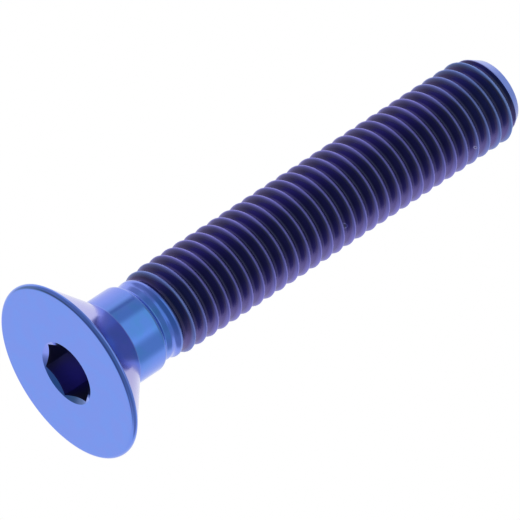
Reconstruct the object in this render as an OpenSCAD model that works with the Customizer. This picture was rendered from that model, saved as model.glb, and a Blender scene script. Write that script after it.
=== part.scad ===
// Countersunk socket screw, one piece of anodised titanium, standing on its flat head.
// The origin is the centre of the head's flat face and +Z runs along the axis to the tip.

/* [Head] */
// Diameter of the flat head
head_d = 10; // [8.5:0.1:14]
// Height of the rim, from the flat face to the cone
rim_h = 0.27; // [0.25:0.01:0.6]
// Radius on the rim's edge at the flat face
face_round = 0.17; // [0.05:0.01:0.17]
// Width of the broken edge between the rim and the cone
rim_break = 0.02; // [0.01:0.01:0.02]
// Included angle of the countersunk cone, in degrees
cone_angle = 90; // [80:1:100]

/* [Hex socket] */
// Hexagon size across its flats
hex_af = 3; // [2.5:0.05:4]
// Depth of the full hexagon below the flat face
hex_depth = 2.3; // [1.6:0.05:2.6]
// How far the countersink of the socket reaches past the hexagon's corners
lead_in_w = 0.07; // [0.01:0.01:0.3]
// Included angle of that countersink, in degrees
lead_in_angle = 120; // [90:1:130]
// How much smaller the drilled hole under the hexagon is than its flats
drill_less = 0.1; // [0.02:0.01:0.5]
// Included angle of the drill's point, in degrees
drill_angle = 120; // [110:1:150]

/* [Collar and neck] */
// Diameter of the plain collar under the head
collar_d = 4.9; // [4.8:0.01:5.2]
// Length of the plain collar, up to where its far edge starts to round off
collar_len = 1.67; // [1:0.01:4]
// Radius on the far edge of the collar
collar_round = 0.29; // [0.2:0.01:0.35]
// Radius of the hollow between that edge and the neck
neck_fillet = 0.3; // [0.2:0.01:0.35]
// How far the neck lies below the collar's surface where it leaves the collar
neck_step = 0.32; // [0.3:0.01:0.38]

/* [Thread] */
// Diameter over the thread crests
thread_d = 4.9; // [4.8:0.01:5.2]
// Depth of the groove, from the crests to the roots
thread_depth = 0.44; // [0.38:0.01:0.5]
// Pitch of the thread
pitch = 0.8; // [0.7:0.01:1]
// Width of the flat on each crest
crest_flat = 0.1; // [0.05:0.01:0.2]
// Included angle between the thread flanks, in degrees
flank_angle = 60; // [55:1:62]
// Length of the taper over which the neck widens to the full height of the crests
rise_len = 1.78; // [0.8:0.01:3]
// Plain length of that taper before the groove begins
plain_len = 0.45; // [0.1:0.01:1]
// Length over which the groove grows to full depth
groove_len = 0.8; // [0.4:0.01:2]
// Height above the start of that taper at which a crest crosses the +X side
thread_phase = 0.23; // [0:0.01:0.7]

/* [Tip] */
// Length of the whole screw, with its head
screw_len = 30; // [14:0.5:50]
// Diameter of the flat end
tip_d = 3.78; // [3:0.01:3.95]
// Angle between the tip's bevel and the axis, in degrees
tip_angle = 30; // [25:1:45]

/* [Fineness] */
// Straight steps in each turn of the thread
turn_steps = 36; // [24:2:40]

/* [Hidden] */
// Sides of a round surface, and straight steps in each small round of the turned outline
round_fn = 96;
arc_steps = 6;
// Depth by which a cut starts outside the body, and by which joined solids overlap
over = 0.4;

head_r = head_d / 2;
collar_r = collar_d / 2;
neck_r = collar_r - neck_step;
crest_r = thread_d / 2;
root_r = crest_r - thread_depth;
tip_r = tip_d / 2;

// Heights along the axis
cone_end = rim_h + (head_r - collar_r) / tan(cone_angle / 2);
collar_end = cone_end + collar_len;
rise_start = collar_end + collar_round;
groove_start = rise_start + plain_len;

// The collar's round and the hollow after it meet where both have swung by this angle
both_rounds = collar_round + neck_fillet;
swing = acos(1 - neck_step / both_rounds);
neck_start = collar_end + both_rounds * sin(swing);

// One ridge of the thread, as distances along the axis from the middle of its crest
half_crest = crest_flat / 2;
flank_len = thread_depth * tan(flank_angle / 2);
half_foot = half_crest + flank_len;

// The first ridge lies inside the collar, and the last one runs past the tip, where it is cut off
first_crest = rise_start + thread_phase - pitch;
turns = ceil((screw_len - first_crest) / pitch) + 1;
last_foot = first_crest + pitch * turns + half_foot;
rows = 4 * turns;

// Share of a length that has passed at height z, from 0 to 1
function passed(z, from, len) = max(0, min(1, (z - from) / len));

// Radius over the crests: a shallow taper on the neck, then the full thread
function over_crest(z) = neck_r + (crest_r - neck_r) * passed(z, rise_start, rise_len);

// Radius at the roots: level with the taper at first, then deeper and deeper
function at_root(z) = over_crest(z) - (over_crest(z) - root_r) * passed(z, groove_start, groove_len);

// The four corners of a ridge, from its foot on the head's side to its foot on the tip's side
function corner_z(middle, corner) = middle + [-half_foot, -half_crest, half_crest, half_foot][corner];
function corner_r(z, corner) = (corner == 1 || corner == 2) ? over_crest(z) : at_root(z);

// A point of the thread at step s of the turn, counted along the axis by its row
function thread_point(s, row) =
    let (z = corner_z(first_crest + pitch * (floor(row / 4) + s / turn_steps), row % 4))
    let (r = corner_r(z, row % 4))
    let (a = 360 * s / turn_steps)
    [r * cos(a), r * sin(a), z];

// A point of the closed ends of the thread
function end_point(s, r, z) = [r * cos(360 * s / turn_steps), r * sin(360 * s / turn_steps), z];

// Thread: each step of the turn is a column of points, and the columns are wrapped round the axis.
// After a whole turn a column meets the first one a pitch, or four rows, further on.
module helical_thread() {
    low_z = first_crest - half_foot - over;
    high_z = last_foot + over;
    points = concat(
        [for (s = [0:turn_steps - 1]) end_point(s, over_crest(low_z), low_z)],
        [for (s = [0:turn_steps - 1]) for (row = [0:rows - 1]) thread_point(s, row)],
        [for (s = [0:turn_steps - 1]) end_point(s, root_r, high_z)]
    );
    last = turn_steps - 1;
    low = function (s) s % turn_steps;
    high = function (s) turn_steps * (1 + rows) + s % turn_steps;
    at = function (s, row) turn_steps + s * rows + row;
    faces = concat(
        [[for (s = [0:last]) low(s)]],
        [for (s = [0:last - 1]) [low(s), at(s, 0), at(s + 1, 0), low(s + 1)]],
        [for (s = [0:last - 1]) for (row = [0:rows - 2])
            [at(s, row), at(s, row + 1), at(s + 1, row + 1), at(s + 1, row)]],
        [for (row = [0:rows - 6]) [at(last, row), at(last, row + 1), at(0, row + 5), at(0, row + 4)]],
        [for (s = [0:last - 1]) [at(s, rows - 1), high(s), high(s + 1), at(s + 1, rows - 1)]],
        [concat([low(last), at(last, 0)], [for (row = [4:-1:0]) at(0, row)], [low(0)])],
        [concat([at(0, rows - 1)], [for (row = [rows - 5:rows - 1]) at(last, row)], [high(last), high(0)])],
        [[for (s = [last:-1:0]) high(s)]]
    );
    polyhedron(points = points, faces = faces, convexity = 10);
}

// Bevelled outline of the tip, wide enough to clear the crests
module tip_outline() {
    clear_r = crest_r + over;
    bevel_start = screw_len - (clear_r - tip_r) / tan(tip_angle);
    rotate_extrude($fn = round_fn)
        polygon([
            [0, 0],
            [clear_r, 0],
            [clear_r, bevel_start],
            [tip_r, screw_len],
            [0, screw_len]
        ]);
}

// Points of an arc round a middle, from one angle to another, for a turned outline.
// An arc that goes on from another one leaves out the point that they share.
function arc(middle, radius, from, to, goes_on = false) =
    [for (i = [(goes_on ? 1 : 0):arc_steps])
        let (a = from + (to - from) * i / arc_steps)
        middle + radius * [cos(a), sin(a)]];

// Flat head, countersunk cone and plain collar with its hollow down to the neck, as one turned outline
module head_and_collar() {
    rotate_extrude($fn = round_fn)
        polygon(concat(
            [[0, 0]],
            arc([head_r - face_round, face_round], face_round, -90, 0),
            [
                [head_r, rim_h - rim_break],
                [head_r - rim_break, rim_h + rim_break / tan(cone_angle / 2)],
                [collar_r, cone_end]
            ],
            arc([collar_r - collar_round, collar_end], collar_round, 0, swing),
            arc([neck_r + neck_fillet, neck_start], neck_fillet, 180 + swing, 180, goes_on = true),
            [[0, neck_start]]
        ));
}

// Hexagon with its lead-in at the flat face and the drilled point below
module hex_socket() {
    corner_d = hex_af / cos(30);
    lead_r = corner_d / 2 + lead_in_w;
    lead_slope = tan(lead_in_angle / 2);
    drill_r = (hex_af - drill_less) / 2;
    translate([0, 0, -over])
        cylinder(h = over + hex_depth, d = corner_d, $fn = 6);
    translate([0, 0, -over])
        cylinder(h = over + lead_r / lead_slope, r1 = lead_r + over * lead_slope, r2 = 0, $fn = round_fn);
    translate([0, 0, hex_depth - over])
        cylinder(h = over, r = drill_r, $fn = round_fn);
    translate([0, 0, hex_depth])
        cylinder(h = drill_r / tan(drill_angle / 2), r1 = drill_r, r2 = 0, $fn = round_fn);
}

// Threaded shank with its neck, cut off flat and bevelled at the tip
module threaded_shank() {
    intersection() {
        helical_thread();
        tip_outline();
    }
}

// The whole screw in one piece
module screw() {
    color("#6577D6")
        difference() {
            union() {
                head_and_collar();
                threaded_shank();
            }
            hex_socket();
        }
}

screw();
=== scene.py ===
# %% [markdown]
# # A countersunk screw in blue anodised titanium
# The screw is one turned and rolled piece: a flat head on a 90 degree cone, a plain collar, a thread
# and a bevelled tip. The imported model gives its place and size, and this lesson gives its looks.
# The frame is loaded first, because every piece is measured against it.

# %% Load the frame
import math
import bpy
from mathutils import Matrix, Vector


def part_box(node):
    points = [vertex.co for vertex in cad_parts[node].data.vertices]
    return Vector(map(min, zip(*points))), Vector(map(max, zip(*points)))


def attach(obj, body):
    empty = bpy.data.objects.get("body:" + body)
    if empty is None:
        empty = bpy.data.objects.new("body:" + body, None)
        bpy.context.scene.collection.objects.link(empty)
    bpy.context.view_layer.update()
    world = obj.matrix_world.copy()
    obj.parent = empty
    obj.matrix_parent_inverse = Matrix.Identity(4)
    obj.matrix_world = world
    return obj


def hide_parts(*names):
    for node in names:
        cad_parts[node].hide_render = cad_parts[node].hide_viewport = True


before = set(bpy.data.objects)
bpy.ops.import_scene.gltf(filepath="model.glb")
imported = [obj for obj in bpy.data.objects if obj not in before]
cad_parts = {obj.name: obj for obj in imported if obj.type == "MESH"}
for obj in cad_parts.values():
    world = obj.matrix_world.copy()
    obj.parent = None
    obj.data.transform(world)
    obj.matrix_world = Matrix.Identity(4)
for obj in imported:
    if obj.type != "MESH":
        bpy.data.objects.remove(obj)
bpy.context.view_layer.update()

from types import SimpleNamespace

import bmesh
import bpy
import numpy as np
from mathutils import Quaternion, Vector

MM = 0.001

# %% [markdown]
# ## The sizes
# All lengths are in millimetres, as on a drawing, and become metres only when a mesh is made.
# The screw stands on its flat face: z is 0 there and grows towards the tip. The cone leans 45 degrees,
# so it is as high as it is wide.

# %% Sizes of the screw
screw_len = round(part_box("screw")[1].z / MM, 2)
head_r = 5.0
rim_h = 0.27
collar_r = 2.45
collar_len = 1.67
collar_round = 0.29
neck_fillet = 0.3
neck_r = 2.13
crest_r = 2.46
thread_depth = 0.44
pitch = 0.8
flank_angle = math.radians(60)
rise_len = 1.78
plain_len = 0.45
groove_len = 0.8
thread_phase = 0.25
tip_r = 1.89
tip_angle = math.radians(30)

root_r = crest_r - thread_depth
cone_end = rim_h + (head_r - collar_r)
collar_end = cone_end + collar_len
rise_start = collar_end + collar_round
groove_start = rise_start + plain_len
first_crest = rise_start + thread_phase - pitch
print(f"the cone ends at {cone_end:.2f}, the collar at {collar_end:.2f}, the tip at {screw_len:.2f} mm")

# %% [markdown]
# ## Rings of points
# Everything on a lathe is a ring turned round the axis, so the mesh is built as a stack of rings with
# the same number of points. Blender's Screw modifier could turn an outline too, but rings of our own
# can be joined to the socket and the thread point by point. Their number divides by six, so that the
# hexagon's corners fall on points.

# %% Columns round the axis
columns = 144
angles = np.arange(columns) * 2 * math.pi / columns


def ring(radius, height):
    """A ring of points in millimetres. Radius and height are numbers, or one value for each column."""
    radius = np.broadcast_to(radius, columns)
    height = np.broadcast_to(height, columns)
    return np.stack([radius * np.cos(angles), radius * np.sin(angles), height], axis=1)


print(f"{columns} columns, {2 * math.pi * crest_r / columns:.3f} mm apart on the crests")

# %% [markdown]
# ## The turned outline
# The head, cone and collar are one outline turned round the axis. No real edge is a knife edge: tumbling
# before the anodising leaves each a few hundredths of a millimetre round, and that thin round is what
# catches the light. So each corner of the outline is replaced by a short arc. A point just beside each
# arc holds the flat next to it flat.

# %% Corners with small rounds
def round_corner(before, corner, after, radius, steps):
    """Points of the arc that replaces a corner of an outline."""
    corner = Vector(corner)
    to_before = (Vector(before) - corner).normalized()
    to_after = (Vector(after) - corner).normalized()
    half_angle = to_before.angle(to_after) / 2
    reach = radius / math.tan(half_angle)
    middle = corner + (to_before + to_after).normalized() * radius / math.sin(half_angle)
    start = corner + to_before * reach - middle
    end = corner + to_after * reach - middle
    return [middle + start.slerp(end, i / steps).normalized() * radius for i in range(steps + 1)]


lead_in_w = 0.07
lead_in_angle = math.radians(120)
hex_r = 1.5
side_angle = math.radians(60)
hex_corner_r = hex_r / math.cos(side_angle / 2)
lead_in_r = hex_corner_r + lead_in_w
lead_in_slope = math.tan(lead_in_angle / 2)

# Each corner is a radius and a height, then the radius of its round and the steps of its arc
outline = [
    ((lead_in_r, 0), 0.02, 3),
    ((head_r, 0), 0.21, 12),
    ((head_r, rim_h), 0.07, 6),
    ((collar_r, cone_end), 0.08, 5),
]
# Share of the way to the next corner at which the holding point lies
hold = 0.03
first_point = (hex_corner_r, lead_in_w / lead_in_slope)
last_point = (collar_r, collar_end)
corners = [first_point] + [row[0] for row in outline] + [last_point]
turned = []
for i, (corner, radius, steps) in enumerate(outline):
    arc = round_corner(corners[i], corner, corners[i + 2], radius, steps)
    before_arc = arc[0].lerp(Vector(corners[i]), hold)
    after_arc = arc[-1].lerp(Vector(corners[i + 2]), hold)
    turned += [before_arc] + arc + [after_arc]
print(f"{len(turned)} points from the socket's mouth to the collar")

# %% [markdown]
# ## From the collar down to the neck
# The collar's end swings in by its round and out again by the hollow under it, so that one arc flows
# into the other. The neck then widens slowly into the thread. Both curves are given by height, and a
# smooth bend joins them.

# %% End of the collar
def ramp(x, half_width):
    """0 below zero and x above it, with a smooth bend that is two half widths long."""
    bend = (x + half_width) ** 2 / (4 * half_width)
    return np.where(x < -half_width, 0, np.where(x > half_width, x, bend))


def over_crest(height):
    """Radius over the crests: a shallow taper on the neck, then the full thread."""
    return neck_r + (crest_r - neck_r) * np.clip((height - rise_start) / rise_len, 0, 1)


both_rounds = collar_round + neck_fillet
swing = math.acos(1 - (collar_r - neck_r) / both_rounds)
neck_start = collar_end + both_rounds * math.sin(swing)
# The helical rows take over from the rings just before the groove begins
rows_before_groove = 0.02
shank_start = groove_start - rows_before_groove
round_steps = 12
taper_steps = 22
neck_bend = 0.015

for i in range(round_steps + 1):
    angle = swing * i / round_steps
    radius = collar_r - collar_round + collar_round * math.cos(angle)
    turned.append(Vector((radius, collar_end + collar_round * math.sin(angle))))
for height in np.linspace(turned[-1].y, shank_start, taper_steps + 1)[1:]:
    below_hollow = max(neck_start - height, 0)
    hollow = neck_r + neck_fillet - math.sqrt(neck_fillet ** 2 - below_hollow ** 2)
    taper = over_crest(height)
    turned.append(Vector((float(taper + ramp(hollow - taper, neck_bend)), height)))
turned_rings = [ring(point.x, point.y) for point in turned]
print(f"{len(turned_rings)} rings down to the neck, which starts at {neck_start:.2f} mm")

# %% [markdown]
# ## The hexagon socket
# The socket is broached into the head: a countersink first, then six flat walls, and a drilled point at
# the bottom. The countersink meets the flat walls in six small scallops. A Boolean could cut it, but
# would leave long thin faces that shade badly. So each ring here has a radius for every column, and a
# ring can be a hexagon.

# %% Socket rings
hex_depth = 2.3
drill_r = 1.45
drill_angle = math.radians(120)
drill_point = drill_r / math.tan(drill_angle / 2)
drill_shares = (0.25, 0.5, 0.75, 1)
wall_steps = 8
to_middle_of_flat = angles % side_angle - side_angle / 2
hexagon = hex_r / np.cos(to_middle_of_flat)
scallop = (lead_in_r - hexagon) / lead_in_slope

socket_rings = [ring(drill_r * share, hex_depth + drill_point * (1 - share)) for share in drill_shares]
socket_rings.append(ring(hexagon, hex_depth))
for i in range(1, wall_steps + 1):
    socket_rings.append(ring(hexagon, hex_depth + (scallop - hex_depth) * i / wall_steps))
print(f"socket: {2 * hex_r:.1f} mm across its flats, scallops {scallop.max():.2f} mm deep")

# %% [markdown]
# ## The thread
# A thread is rolled, so its crests and roots are rounded, and the side of a crest that faces the tip is
# the rounder one. The Screw modifier could sweep a ridge round the axis, but that ridge couldn't grow
# out of the neck or end in the bevel. So the rows of the mesh follow the helix themselves: each row
# climbs one pitch in a turn, and the last column meets the first one a pitch further on. That keeps
# every crest a clean line with few faces. The rows stand close together where a crest or a root bends,
# and far apart on the flanks.

# %% Section of one ridge
crest_round = 0.06
tip_side_round = 0.11
root_round = 0.06
flank_len = thread_depth * math.tan(flank_angle / 2)
# Places of rows as shares of the crest's round, and of the root's round from where the flank ends
crest_places = (0.1, 0.7, 1.3, 1.9)
root_places = (-0.9, 0, 0.9)


def depth_share(from_crest, rounding):
    """Depth of the groove, from 0 on the crest to 1 at the root, by the distance from the crest."""
    fall = ramp(from_crest - rounding, rounding) / flank_len
    return fall - ramp(from_crest - rounding - flank_len, root_round) / flank_len


def side_rows(rounding):
    """Places of the rows on one side of a crest, as distances from its middle."""
    foot = rounding + flank_len
    bends = [rounding * place for place in crest_places]
    return bends + [(rounding + foot) / 2] + [foot + root_round * place for place in root_places]


pitch_rows = [0] + side_rows(tip_side_round) + [pitch - row for row in reversed(side_rows(crest_round))]
pitch_rows = np.array(pitch_rows)
rows_a_pitch = len(pitch_rows)
closest_rows = np.diff(pitch_rows).min()
print(f"{rows_a_pitch} rows in each pitch, the closest two {closest_rows:.4f} mm apart")

# %% [markdown]
# The radius at a point of the shank has three parts: the taper over the crests, the depth of the groove
# below it, which grows from nothing where the groove begins, and the bevel of the tip, which cuts off
# whatever stands out beyond it.

# %% Radius of the shank
bevel_round = 0.03


def shank_radius(height, past_crest):
    """Radius of the shank at a height, and at a distance past the last crest."""
    crest = over_crest(height)
    depth = (crest - root_r) * np.clip((height - groove_start) / groove_len, 0, 1)
    tip_side = depth_share(past_crest, tip_side_round)
    head_side = depth_share(pitch - past_crest, crest_round)
    threaded = crest - depth * np.where(past_crest < pitch / 2, tip_side, head_side)
    bevel = tip_r + (screw_len - height) * math.tan(tip_angle)
    return threaded - ramp(threaded - bevel, bevel_round)


middle_height = screw_len / 2
print(f"radius on a crest {float(shank_radius(middle_height, 0)):.3f} mm")
print(f"radius at a root {float(shank_radius(middle_height, pitch / 2)):.3f} mm")

# %% [markdown]
# Rows that would leave the shank are held at its ends, and the points that then fall together are
# merged later on.

# %% Helical rows
end_round = 0.04
spare_turns = 2
shank_end = screw_len - end_round
first_turn = math.floor((shank_start - first_crest) / pitch) - spare_turns
last_turn = math.ceil((screw_len - first_crest) / pitch) + spare_turns
turn_starts = first_crest + pitch * np.arange(first_turn, last_turn)
row_heights = (turn_starts[:, None] + pitch_rows[None, :]).ravel()
row_phases = np.tile(pitch_rows, len(turn_starts))

climb = pitch * np.arange(columns) / columns
free_heights = row_heights[:, None] + climb[None, :]
heights = np.clip(free_heights, shank_start, shank_end)
phases = np.mod(row_phases[:, None] + heights - free_heights, pitch)
radii = shank_radius(heights, phases)
shank_rows = np.stack([radii * np.cos(angles), radii * np.sin(angles), heights], axis=2)
print(f"thread: {len(turn_starts)} turns of rows, {shank_rows.shape[0] * columns} points before merging")

# %% [markdown]
# ## One closed mesh
# Rings are joined with four-sided faces, and the bottom of the socket is closed with a fan of
# triangles. One mesh for the whole screw lets light and shading run from part to part without a seam.

# %% Join the socket and the turned rings
points = []
faces = []


def add_points(new):
    """Adds points and gives the number of the first."""
    first = len(points)
    points.extend(new)
    return first


def join_rings(low, high):
    """Faces between two rings, given by their first points."""
    for i in range(columns):
        j = (i + 1) % columns
        faces.append((low + i, low + j, high + j, high + i))


socket_bottom = add_points([(0, 0, hex_depth + drill_point)])
starts = [add_points(new_ring) for new_ring in socket_rings + turned_rings]
faces += [(socket_bottom, starts[0] + (i + 1) % columns, starts[0] + i) for i in range(columns)]
for low, high in zip(starts, starts[1:]):
    join_rings(low, high)
socket_faces = columns * len(socket_rings)
print(f"{len(faces)} faces from the socket to the neck, {socket_faces} of them in the socket")

# %% [markdown]
# The helical rows don't close into rings. Past the last column, a row goes on as the row that starts one
# pitch higher, so the faces of that seam lead there.

# %% Join the helical rows
row_starts = [add_points(row) for row in shank_rows]
for low, high in zip(row_starts, row_starts[1:]):
    faces += [(low + i, low + i + 1, high + i + 1, high + i) for i in range(columns - 1)]
for i in range(len(row_starts) - rows_a_pitch - 1):
    low, high = row_starts[i], row_starts[i + 1]
    next_low, next_high = row_starts[i + rows_a_pitch], row_starts[i + rows_a_pitch + 1]
    faces.append((low + columns - 1, next_low, next_high, high + columns - 1))
print(f"{len(faces)} faces with the thread")

# %% [markdown]
# The tip's end was faced flat, and its edge is a hair round. A few rings carry that round from the bevel
# to the flat, and a fan closes it.

# %% Close the tip
# How far each ring of the tip's rounded edge lies inside the bevel, and how far below the flat end
edge_rings = ((0.03, 0.014), (0.07, 0.002), (0.12, 0))
bevel_end_r = shank_radius(shank_end, pitch / 2)
tip_rings = [ring(bevel_end_r, shank_end)]
tip_rings += [ring(bevel_end_r - inside, screw_len - below) for inside, below in edge_rings]
tip_starts = [add_points(new_ring) for new_ring in tip_rings]
for low, high in zip(tip_starts, tip_starts[1:]):
    join_rings(low, high)
tip_middle = add_points([(0, 0, screw_len)])
faces += [(tip_starts[-1] + i, tip_starts[-1] + (i + 1) % columns, tip_middle) for i in range(columns)]
print(f"{len(points)} points and {len(faces)} faces in all")

# %% [markdown]
# The rows that were held at the ends lie on top of one another there. Merging points that are less than
# half a micron apart removes their empty faces and sews the thread to the neck and the tip. A count of
# the edges that don't have two faces then shows that the mesh is closed.

# %% Merge and measure
same_point = 0.0004
mesh = bpy.data.meshes.new("dressed_screw")
in_metres = [tuple(float(x) * MM for x in point) for point in points]
mesh.from_pydata(in_metres, [], [tuple(map(int, face)) for face in faces])
work = bmesh.new()
work.from_mesh(mesh)
bmesh.ops.remove_doubles(work, verts=work.verts, dist=same_point * MM)
bmesh.ops.recalc_face_normals(work, faces=work.faces)
open_edges = sum(1 for edge in work.edges if len(edge.link_faces) != 2)
work.to_mesh(mesh)
work.free()
triangles = sum(len(face.vertices) - 2 for face in mesh.polygons)
print(f"screw mesh: {triangles} triangles, {open_edges} open edges")

# %% [markdown]
# ## Smooth where it bends, sharp where it folds
# All faces are shaded smooth, and only edges that fold by more than 35 degrees stay sharp, such as the
# hexagon's corners. The Weighted Normal modifier then keeps the big flat faces flat right up to their
# rounded edges.

# %% Shade the screw
sharp_fold = math.radians(35)
screw = bpy.data.objects.new("dressed_screw", mesh)
bpy.context.scene.collection.objects.link(screw)
mesh.shade_smooth()
mesh.set_sharp_from_angle(angle=sharp_fold)
weighted = screw.modifiers.new("flat_faces", "WEIGHTED_NORMAL")
weighted.keep_sharp = True
weighted.weight = 70

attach(screw, "root")
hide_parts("screw")
print("the screw measures", [round(x / MM, 2) for x in screw.dimensions], "mm")

# %% [markdown]
# ## Anodised titanium
# Anodising grows a clear oxide on titanium. Light that bounces inside the oxide cancels some colours, so
# the grey metal looks blue. It is still a metal: all its colour is in its reflection, and at grazing
# angles it turns pale. The oxide follows the metal under it, so each way of making the surface gives a
# finish of its own: the head and collar were turned and polished, the socket was broached, and the
# thread was rolled. They are three materials on one mesh, chosen face by face. The colour could be
# worked out from the oxide's thickness, but chosen colours are easier to match to a real screw.
#
# Two small functions serve them all. One turns a colour as a screen shows it into the linear light that
# the renderer counts in. The other adds a node with its settings and links.

# %% Colours and nodes
def linear(hex_colour):
    """A #rrggbb colour as linear red, green, blue and alpha, by the formula of the sRGB standard."""
    channels = [int(hex_colour[i:i + 2], 16) / 255 for i in (1, 3, 5)]
    return [c / 12.92 if c <= 0.04045 else ((c + 0.055) / 1.055) ** 2.4 for c in channels] + [1.0]


def add(tree, kind, inputs=(), give=0, **settings):
    """Adds a node and gives one of its outputs. Inputs are values or other nodes' outputs, either in
    the node's own order or by the name or number of their sockets."""
    node = tree.nodes.new("ShaderNode" + kind)
    for name, value in settings.items():
        setattr(node, name, value)
    named = inputs.items() if isinstance(inputs, dict) else enumerate(inputs)
    for name, value in named:
        if isinstance(value, bpy.types.NodeSocket):
            tree.links.new(value, node.inputs[name])
        else:
            node.inputs[name].default_value = value
    return node.outputs[give] if node.outputs else None


# What a Mix node needs to blend two colours: they are its inputs 6 and 7, and its output 2 gives them
of_colours = {"give": 2, "data_type": "RGBA"}
print("middle grey in linear light:", [round(c, 3) for c in linear("#808080")])

# %% [markdown]
# Every finish on the screw follows its axis: the rings of the lathe, the walls of the socket and the
# helix of the thread. So each material starts from the same few numbers of a point, all in millimetres:
# its place, its height, its distance from the axis, and the share of that distance that is sideways.
# It ends with the metal, whose marks are a bump of a few thousandths of a millimetre.

# %% Start and end of a material
# The sides, where lavender and grey are painted as sheen, lie evenly about this x
sides_middle = 0.25


def start_material(name):
    """A new material, its node tree, and the numbers of a point in millimetres."""
    material = bpy.data.materials.new(name)
    material.use_nodes = True
    tree = material.node_tree
    tree.nodes.clear()
    in_metres = add(tree, "TexCoord", give="Object")
    place = add(tree, "VectorMath", {0: in_metres, "Scale": 1 / MM}, operation="SCALE")
    x = add(tree, "SeparateXYZ", [place], give="X")
    y, height = x.node.outputs["Y"], x.node.outputs["Z"]
    flat_place = add(tree, "CombineXYZ", [x, y])
    radius = add(tree, "VectorMath", [flat_place], give="Value", operation="LENGTH")
    from_middle = add(tree, "Math", [x, sides_middle], operation="SUBTRACT")
    how_far = add(tree, "Math", [from_middle], operation="ABSOLUTE")
    sideways = add(tree, "Math", [how_far, radius], operation="DIVIDE")
    point = SimpleNamespace(place=place, x=x, y=y, height=height, radius=radius, sideways=sideways)
    return material, tree, point


def finish_material(tree, colour, roughness, marks, mark_height):
    """The metal itself: its colour, its gloss, and its marks as a bump of so many millimetres."""
    bump = add(tree, "Bump", {"Height": marks, "Distance": mark_height * MM, "Strength": 1.0})
    metal = {"Base Color": colour, "Roughness": roughness, "Metallic": 1.0, "Normal": bump}
    add(tree, "OutputMaterial", {"Surface": add(tree, "BsdfPrincipled", metal)})
    print(f"{len(tree.nodes)} nodes in this finish")


# The sides' painted sheen lies evenly about this x
print(f"the bath's plates stood evenly about x = {sides_middle} mm")

# %% [markdown]
# ## Turned and polished
# Both sides, which the camera sees at a grazing angle, turn from azure to lavender: a painted sheen,
# the paler, more violet colour that the oxide shows at grazing angles. The cone is painted paler still,
# as the same sheen, and soft spots of a greener blue lie on the collar and the face. Which part a point
# lies on follows from its height and radius.

# %% Colours of the polished titanium
polished_blue = linear("#608DE8")
patch_blue = linear("#5592DC")
# Painted sheen: the lavender of the sides, where the camera sees the surface at a grazing angle
side_sheen_lavender = linear("#8495EE")
face_blue = linear("#7390EB")
face_patch = linear("#6C93EE")
# Painted sheen: the cone's paler lavender
cone_sheen_lavender = linear("#9A99E5")
# Soft spots about a millimetre wide, which fade in between two levels of the noise
hue_spot = 1.1
patch_from = 0.45
patch_to = 0.6
patch_depth = 0.55
# Share of the sideways distance at which the lavender starts, and at which it is full
lavender_from = 0.5
lavender_to = 1.0
# Where one part ends and the next begins
socket_until = lead_in_r - 0.03
face_from = lead_in_r + 0.01
face_until = rim_h + 0.02
cone_from = rim_h + 0.12
cone_until = cone_end - 0.05
collar_from = cone_end + 0.02

turned_metal, tree, point = start_material("anodised_titanium_polished")
side_sheen = add(tree, "MapRange", [point.sideways, lavender_from, lavender_to])
outside_socket = add(tree, "MapRange", [point.radius, socket_until, face_from])
below_cone = add(tree, "MapRange", [point.height, cone_from, face_until])
on_face = add(tree, "Math", [outside_socket, below_cone], operation="MULTIPLY")
past_rim = add(tree, "MapRange", [point.height, face_until, cone_from])
before_collar = add(tree, "MapRange", [point.height, collar_from, cone_until])
on_cone = add(tree, "Math", [past_rim, before_collar], operation="MULTIPLY")
spots = add(tree, "TexNoise", {"Vector": point.place, "Scale": 1 / hue_spot, "Detail": 2.0})
patches = add(tree, "MapRange", [spots, patch_from, patch_to, 0.0, patch_depth])
patched_blue = add(tree, "Mix", {0: patches, 6: polished_blue, 7: patch_blue}, **of_colours)
# The sides are mixed towards lavender, a painted sheen
collar_colour = add(tree, "Mix", {0: side_sheen, 6: patched_blue, 7: side_sheen_lavender}, **of_colours)
face_colour = add(tree, "Mix", {0: patches, 6: face_blue, 7: face_patch}, **of_colours)
colour = add(tree, "Mix", {0: on_face, 6: collar_colour, 7: face_colour}, **of_colours)
# The cone is painted lavender, a painted sheen
colour = add(tree, "Mix", {0: on_cone, 6: colour, 7: cone_sheen_lavender}, **of_colours)
print(f"the cone's colour runs from {cone_from:.2f} to {cone_until:.2f} mm")

# %% [markdown]
# The tool's feed leaves fine rings, which polishing almost takes away. Their spacing is a real feed of
# about 0.05 mm, drawn at 0.12 mm so that it shows at all. The height less the radius is a distance that
# grows along the face, the cone and the collar alike, so one noise in one dimension draws all the rings.

# %% Rings and gloss of the polished titanium
ring_spacing = 0.12
ring_depth = 0.0006
polished_rough = 0.13

along_outline = add(tree, "Math", [point.height, point.radius], operation="SUBTRACT")
feed = {"W": along_outline, "Scale": 1 / ring_spacing, "Detail": 1.0}
rings = add(tree, "TexNoise", feed, noise_dimensions="1D")
finish_material(tree, colour, polished_rough, rings, ring_depth)
mesh.materials.append(turned_metal)

# %% [markdown]
# ## Broached
# A broach cuts the hexagon with a row of teeth, straight down, so its marks run down the walls. Little
# light comes out of so deep a hole, and each bounce in it takes more of the red and green away. The
# walls on the left and right, which the camera sees at a grazing angle, are painted nearly grey as a
# painted sheen, and the hole looks black where they face each other.

# %% Broached titanium
broached_violet = linear("#867FD2")
broached_sheen_grey = linear("#9597A6")
# Share of the sideways distance at which the grey starts, and at which it is full
grey_from = 0.4
grey_to = 0.75
score_spacing = 0.09
score_depth = 0.004
# The pattern is drawn out twenty times along the walls
along_walls = (1.0, 1.0, 0.05)
broached_rough = 0.3

broached_metal, tree, point = start_material("anodised_titanium_broached")
on_side_walls = add(tree, "MapRange", [point.sideways, grey_from, grey_to])
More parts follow.
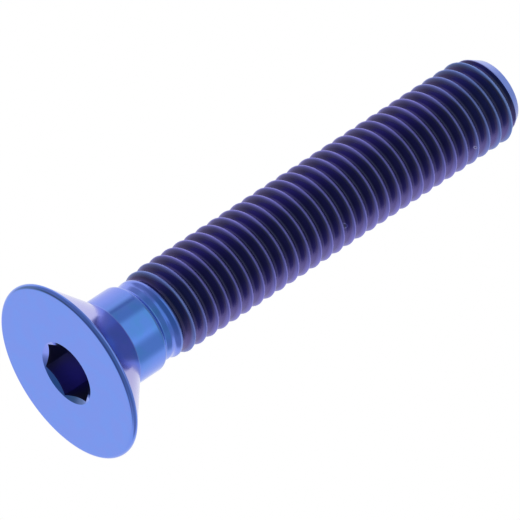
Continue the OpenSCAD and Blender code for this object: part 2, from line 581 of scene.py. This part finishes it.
# The grey side walls are a painted sheen
colour = add(tree, "Mix", {0: on_side_walls, 6: broached_violet, 7: broached_sheen_grey}, **of_colours)
drawn_out = add(tree, "VectorMath", [point.place, along_walls], operation="MULTIPLY")
scores = add(tree, "TexNoise", {"Vector": drawn_out, "Scale": 1 / score_spacing, "Detail": 1.0})
finish_material(tree, colour, broached_rough, scores, score_depth)
mesh.materials.append(broached_metal)

# %% [markdown]
# ## Rolled
# Two dies squeeze the thread out of the blank. The roots are painted dark, a painted shade, while the
# crests are painted brighter and bluer, a painted highlight that reaches further down the flanks that
# face the tip.
# Following the helix is a matter of two numbers: the height in pitches, less the share of a turn that
# the point has gone round the axis. What is left after the whole pitches is the distance past the last
# crest, and it says how deep in the groove a point is.

# %% Where the crests are
# Distances from the middle of a crest, towards the tip, between which the crest's highlight is painted
highlight_from = -0.06
sides_highlight_from = -0.18
full_highlight_to = 0.12
highlight_to = 0.44
# Share of the sideways distance at which the sides start, and at which they are fully sides
sides_from = 0.3
sides_to = 0.85

rolled_metal, tree, point = start_material("anodised_titanium_rolled")
side_sheen = add(tree, "MapRange", [point.sideways, sides_from, sides_to])
turn = add(tree, "Math", [point.y, point.x], operation="ARCTAN2")
turn_share = add(tree, "Math", [turn, 2 * math.pi], operation="DIVIDE")
from_first = add(tree, "Math", [point.height, first_crest], operation="SUBTRACT")
pitches = add(tree, "Math", [from_first, pitch], operation="DIVIDE")
unrolled = add(tree, "Math", [pitches, turn_share], operation="SUBTRACT")
past_crest = add(tree, "Math", [unrolled], operation="FRACT")
head_start = 1 + highlight_from / pitch
sides_start = 1 + sides_highlight_from / pitch
# At the sides the painted highlight starts further before the crest
start = add(tree, "MapRange", [side_sheen, 0.0, 1.0, head_start, sides_start])
past_tip_side = add(tree, "MapRange", [past_crest, full_highlight_to / pitch, highlight_to / pitch])
before_head_side = add(tree, "MapRange", [past_crest, start, 1.0, 1.0, 0.0])
# 0 where the crest's highlight is painted, 1 where the groove's shade is painted
in_groove = add(tree, "Math", [past_tip_side, before_head_side], operation="MINIMUM")
# The printed span is that of the painted crest highlight
print(f"rubbed from {-highlight_from:.2f} mm before each crest to {highlight_to} mm past it")

# %% [markdown]
# The thread's colours are a dark violet in the groove, darkened there as painted shade, and a lighter
# one on the crests, as a painted highlight. Both turn to purple and lavender towards the sides, as a
# painted sheen. The crests are bluest beside the neck, which was polished with the collar, and again in
# the last few millimetres before the tip.

# %% Colours of the thread and the neck
# Crest colours are a painted highlight, groove colours a painted shade, the sides' lavender a painted
# sheen
groove_shade_violet = linear("#4C4A6C")
groove_shade_purple = linear("#5C5290")
crest_highlight_violet = linear("#7376C6")
crest_highlight_lavender = linear("#938FE6")
crest_highlight_blue = linear("#7C9BE0")
neck_blue = linear("#577FDC")
# Painted sheen: the neck's lavender towards the sides
neck_sheen_lavender = linear("#7C90EC")
neck_blue_until = groove_start + 0.45
all_rolled_from = neck_blue_until + 0.3
crests_violet_from = neck_blue_until + 2.2
tip_blue_from = screw_len - 5
tip_blue_to = screw_len - 1

near_neck = add(tree, "MapRange", [point.height, crests_violet_from, neck_blue_until])
near_tip = add(tree, "MapRange", [point.height, tip_blue_from, tip_blue_to])
rolled = add(tree, "MapRange", [point.height, neck_blue_until, all_rolled_from])
crest_highlight_colour = add(tree, "Mix", {0: side_sheen, 6: crest_highlight_violet, 7: crest_highlight_lavender}, **of_colours)
crest_highlight_colour = add(tree, "Mix", {0: near_neck, 6: crest_highlight_colour, 7: crest_highlight_blue}, **of_colours)
crest_highlight_colour = add(tree, "Mix", {0: near_tip, 6: crest_highlight_colour, 7: crest_highlight_blue}, **of_colours)
groove_shade_colour = add(tree, "Mix", {0: side_sheen, 6: groove_shade_violet, 7: groove_shade_purple}, **of_colours)
# The crest's painted highlight is mixed into the groove's painted shade
thread_colour = add(tree, "Mix", {0: in_groove, 6: crest_highlight_colour, 7: groove_shade_colour}, **of_colours)
neck_colour = add(tree, "Mix", {0: side_sheen, 6: neck_blue, 7: neck_sheen_lavender}, **of_colours)
colour = add(tree, "Mix", {0: rolled, 6: neck_colour, 7: thread_colour}, **of_colours)
print(f"the neck stays blue up to {neck_blue_until:.2f} mm")

# %% [markdown]
# The bevel and the flat end of the tip were turned before the rolling, so they keep a lighter, turned
# surface. A point lies on the bevel where its radius comes close to the bevel's own radius at that
# height. Two small nicks from handling sit on the near side of the thread, each with a pale edge where
# the metal is pushed up.

# %% Tip and nicks
bevel_blue = linear("#6F8ADA")
# Painted sheen: the bevel's lavender towards the sides
bevel_sheen_lavender = linear("#8B9BE6")
# Distances from the bevel and from the flat end at which their colour starts, and at which it is full
off_bevel = 0.02
at_bevel = 0.008
off_end = 0.03
at_end = 0.01
# Each nick is the place of its middle and its radius, with the width of its edge inside that
nicks = (((1.51, -1.34, 17.38), 0.2), ((1.88, -1.42, 26.41), 0.12))
nick_colour = linear("#9C9BD0")
nick_edge = 0.04
nick_fade = 0.85

to_end = add(tree, "Math", [screw_len, point.height], operation="SUBTRACT")
bevel_radius = add(tree, "Math", [to_end, math.tan(tip_angle), tip_r], operation="MULTIPLY_ADD")
below_bevel = add(tree, "Math", [bevel_radius, point.radius], operation="SUBTRACT")
on_bevel = add(tree, "MapRange", [below_bevel, off_bevel, at_bevel])
on_end = add(tree, "MapRange", [to_end, off_end, at_end])
bevel_colour = add(tree, "Mix", {0: side_sheen, 6: bevel_blue, 7: bevel_sheen_lavender}, **of_colours)
colour = add(tree, "Mix", {0: on_bevel, 6: colour, 7: bevel_colour}, **of_colours)
colour = add(tree, "Mix", {0: on_end, 6: colour, 7: bevel_blue}, **of_colours)
for nick_middle, nick_r in nicks:
    distance = add(tree, "VectorMath", [point.place, nick_middle], give="Value", operation="DISTANCE")
    inside = add(tree, "MapRange", [distance, nick_r - nick_edge, nick_r - 2 * nick_edge])
    # Inside each nick is the groove's colour, with its painted shade
    nicked = add(tree, "Mix", {0: inside, 6: nick_colour, 7: groove_shade_violet}, **of_colours)
    on_nick = add(tree, "MapRange", [distance, nick_r, nick_r * nick_fade])
    colour = add(tree, "Mix", {0: on_nick, 6: colour, 7: nicked}, **of_colours)
print(len(nicks), "nicks")

# %% [markdown]
# The dies leave fine streaks that run round the screw, so the noise is drawn out that way. The neck is
# nearly as smooth as the collar, the groove and the bevel are a little duller, and the crests, where the
# highlight is painted, are the dullest, which spreads their highlight into a soft line.

# %% Streaks and gloss of the rolled titanium
streak_spacing = 0.07
streak_depth = 0.003
around_axis = (0.15, 0.15, 1.0)
neck_rough = 0.15
rolled_rough = 0.25
crest_rough = 0.48

drawn_out = add(tree, "VectorMath", [point.place, around_axis], operation="MULTIPLY")
streaks = add(tree, "TexNoise", {"Vector": drawn_out, "Scale": 1 / streak_spacing, "Detail": 2.0})
on_tip = add(tree, "Math", [on_bevel, on_end], operation="MAXIMUM")
off_crest = add(tree, "Math", [in_groove, on_tip], operation="MAXIMUM")
thread_rough = add(tree, "MapRange", [off_crest, 0.0, 1.0, crest_rough, rolled_rough])
roughness = add(tree, "MapRange", [rolled, 0.0, 1.0, neck_rough, thread_rough])
finish_material(tree, colour, roughness, streaks, streak_depth)
mesh.materials.append(rolled_metal)

# %% [markdown]
# The socket's faces were the first to be joined, so their numbers tell them apart from the rest. Above
# the start of the helical rows everything is rolled, and what remains was turned.

# %% Which face has which finish
turned_slot, broached_slot, rolled_slot = 0, 1, 2
for face in mesh.polygons:
    middle = face.center / MM
    in_hexagon = middle.z < screw_len / 2 and math.hypot(middle.x, middle.y) < hex_corner_r
    if middle.z > shank_start:
        face.material_index = rolled_slot
    elif in_hexagon and face.index < socket_faces:
        face.material_index = broached_slot
    else:
        face.material_index = turned_slot
for slot, material in enumerate(mesh.materials):
    print(sum(1 for face in mesh.polygons if face.material_index == slot), "faces of", material.name)

# %% [markdown]
# ## The studio
# A polished metal shows the room, not itself, so the room is the lighting. It is a white tent with grey
# panels round the camera and a dark table below. Panels made of planes would stand in the way when the
# screw is looked at from another side, so each one is a patch of the world's background. It is given by
# where it stands: its bearing from the camera's side, and its height above the horizon. The camera
# itself sees the world as plain white.

# %% World
world = bpy.data.worlds.new("white_tent")
bpy.context.scene.world = world
world.use_nodes = True
tree = world.node_tree
tree.nodes.clear()
direction = add(tree, "TexCoord", give="Generated")
seen_by_camera = add(tree, "LightPath", give="Is Camera Ray")
white = linear("#FFFFFF")


def panel(before, bearing, elevation, tint, edge, core):
    """Hangs a grey panel. Its tint is full out to the core angle and fades away at the edge angle."""
    bearing, elevation = math.radians(bearing), math.radians(elevation)
    level = math.cos(elevation)
    toward = (level * math.sin(bearing), -level * math.cos(bearing), math.sin(elevation))
    closeness = add(tree, "VectorMath", [direction, toward], give="Value", operation="DOT_PRODUCT")
    limits = [closeness, math.cos(math.radians(edge)), math.cos(math.radians(core))]
    amount = add(tree, "MapRange", limits, interpolation_type="SMOOTHSTEP")
    return add(tree, "Mix", {0: amount, 6: before, 7: linear(tint)}, **of_colours)


# Each panel is its bearing, its elevation, its tint, and the angles of its edge and its core
panels = (
    # Over the camera, then to its left and right
    (-58, 58, "#D1C7CB", 32, 16),
    (52, 58, "#B5ACAD", 32, 16),
    (0, 60, "#C5B3B1", 32, 18),
    (-48, 29, "#BCC0C8", 28, 14),
    (60, 29, "#C8CBD1", 30, 8),
    (-4, 27, "#ECF3EF", 28, 8),
    # A thin dark gap in the tent's left wall
    (-64.6, 29, "#A2A4B8", 5, 2.5),
    # Behind the screw, high on the right and low on the left and right
    (138, 56, "#EAE7EA", 26, 10),
    (-126, -30, "#BCBFAD", 38, 15),
    (-112, -54, "#868B84", 34, 12),
    (108, -60, "#B5B1B8", 30, 10),
    # The space below the camera, and the table
    (-88, -8, "#B1B5BF", 40, 22),
    (88, -8, "#B1B5BF", 40, 22),
    (-40, -24, "#9EA2AD", 48, 28),
    (40, -24, "#99A0AA", 48, 28),
    (0, -28, "#909EA4", 54, 30),
    (0, -86, "#737C89", 44, 12),
)
tent = white
for row in panels:
    tent = panel(tent, *row)
seen = add(tree, "Mix", {0: seen_by_camera, 6: tent, 7: white}, **of_colours)
add(tree, "OutputWorld", {"Surface": add(tree, "Background", {"Color": seen, "Strength": 1.0})})
print(len(panels), "panels in the tent")

# %% [markdown]
# ## The floor
# The screw stands on its head on a plain pale floor. The camera looks at the head's face from below, as
# the photograph does, so the floor's underside is clear to the camera. From above it is solid and takes
# the screw's shadow. It lies a hair below the face, so that the two don't fight for one plane. It is
# hidden from reflections and casts no shadow, so that the tent lights the screw from below as well.

# %% Floor
floor_size = 6.0
floor_drop = 0.03
half = floor_size / 2
floor_corners = [(-half, -half, 0), (half, -half, 0), (half, half, 0), (-half, half, 0)]
floor_mesh = bpy.data.meshes.new("floor")
floor_mesh.from_pydata(floor_corners, [], [(0, 1, 2, 3)])
floor = bpy.data.objects.new("floor", floor_mesh)
floor.location.z = -floor_drop * MM
bpy.context.scene.collection.objects.link(floor)
floor.visible_glossy = False
floor.visible_shadow = False

paint = bpy.data.materials.new("matt_white_floor_paint")
paint.use_nodes = True
tree = paint.node_tree
tree.nodes.clear()
underside = add(tree, "NewGeometry", give="Backfacing")
matt = add(tree, "BsdfDiffuse", {"Color": linear("#EDEDEF")})
clear = add(tree, "BsdfTransparent")
add(tree, "OutputMaterial", {"Surface": add(tree, "MixShader", [underside, matt, clear])})
floor_mesh.materials.append(paint)
print(f"the floor is {floor_size} m wide")

# %% [markdown]
# ## The lamp
# One wide soft lamp above gives the floor its light and the screw its soft shadow. The tent's own light
# comes from all sides and leaves hardly any shadow. The lamp stays out of the reflections, because the
# tent's panels already stand there for the studio.

# %% Lamp
lamp_place = Vector((-0.25, -0.15, 0.6))
lamp_data = bpy.data.lights.new("softbox", "AREA")
lamp_data.shape = "SQUARE"
lamp_data.size = 0.5
lamp_data.energy = 2.0
lamp = bpy.data.objects.new("softbox", lamp_data)
lamp.location = lamp_place
lamp.rotation_mode = "QUATERNION"
lamp.rotation_quaternion = (-lamp_place).to_track_quat("-Z", "Y")
lamp.visible_glossy = False
bpy.context.scene.collection.objects.link(lamp)
print(f"the lamp hangs {lamp_place.length:.2f} m from the screw")

# %% [markdown]
# ## The camera
# A long lens from about 45 cm: the outline of the head, the crests and the tip in the photograph fit
# this view. It looks up at the face from 29 degrees below, and it is rolled so that the screw climbs to
# the upper right.

# %% Camera
lens = 610.4
sensor = 36.0
camera_distance = 449.6
aim = Vector((0.6, 0, 12.92))
elevation = math.radians(-29.26)
roll = math.radians(56.6)

back = Vector((0, -math.cos(elevation), math.sin(elevation)))
camera_data = bpy.data.cameras.new("camera")
camera_data.lens = lens
camera_data.sensor_width = sensor
camera = bpy.data.objects.new("camera", camera_data)
camera.location = (aim + back * camera_distance) * MM
camera.rotation_mode = "QUATERNION"
camera.rotation_quaternion = (-back).to_track_quat("-Z", "Y") @ Quaternion((0, 0, 1), roll)
bpy.context.scene.collection.objects.link(camera)
bpy.context.scene.camera = camera
print("the camera stands at", [round(x / MM, 1) for x in camera.location], "mm")

# %% [markdown]
# ## Finish
# The Standard view shows the colours as they are, without a film's contrast.

# %% Finish
bpy.context.scene.view_settings.view_transform = "Standard"
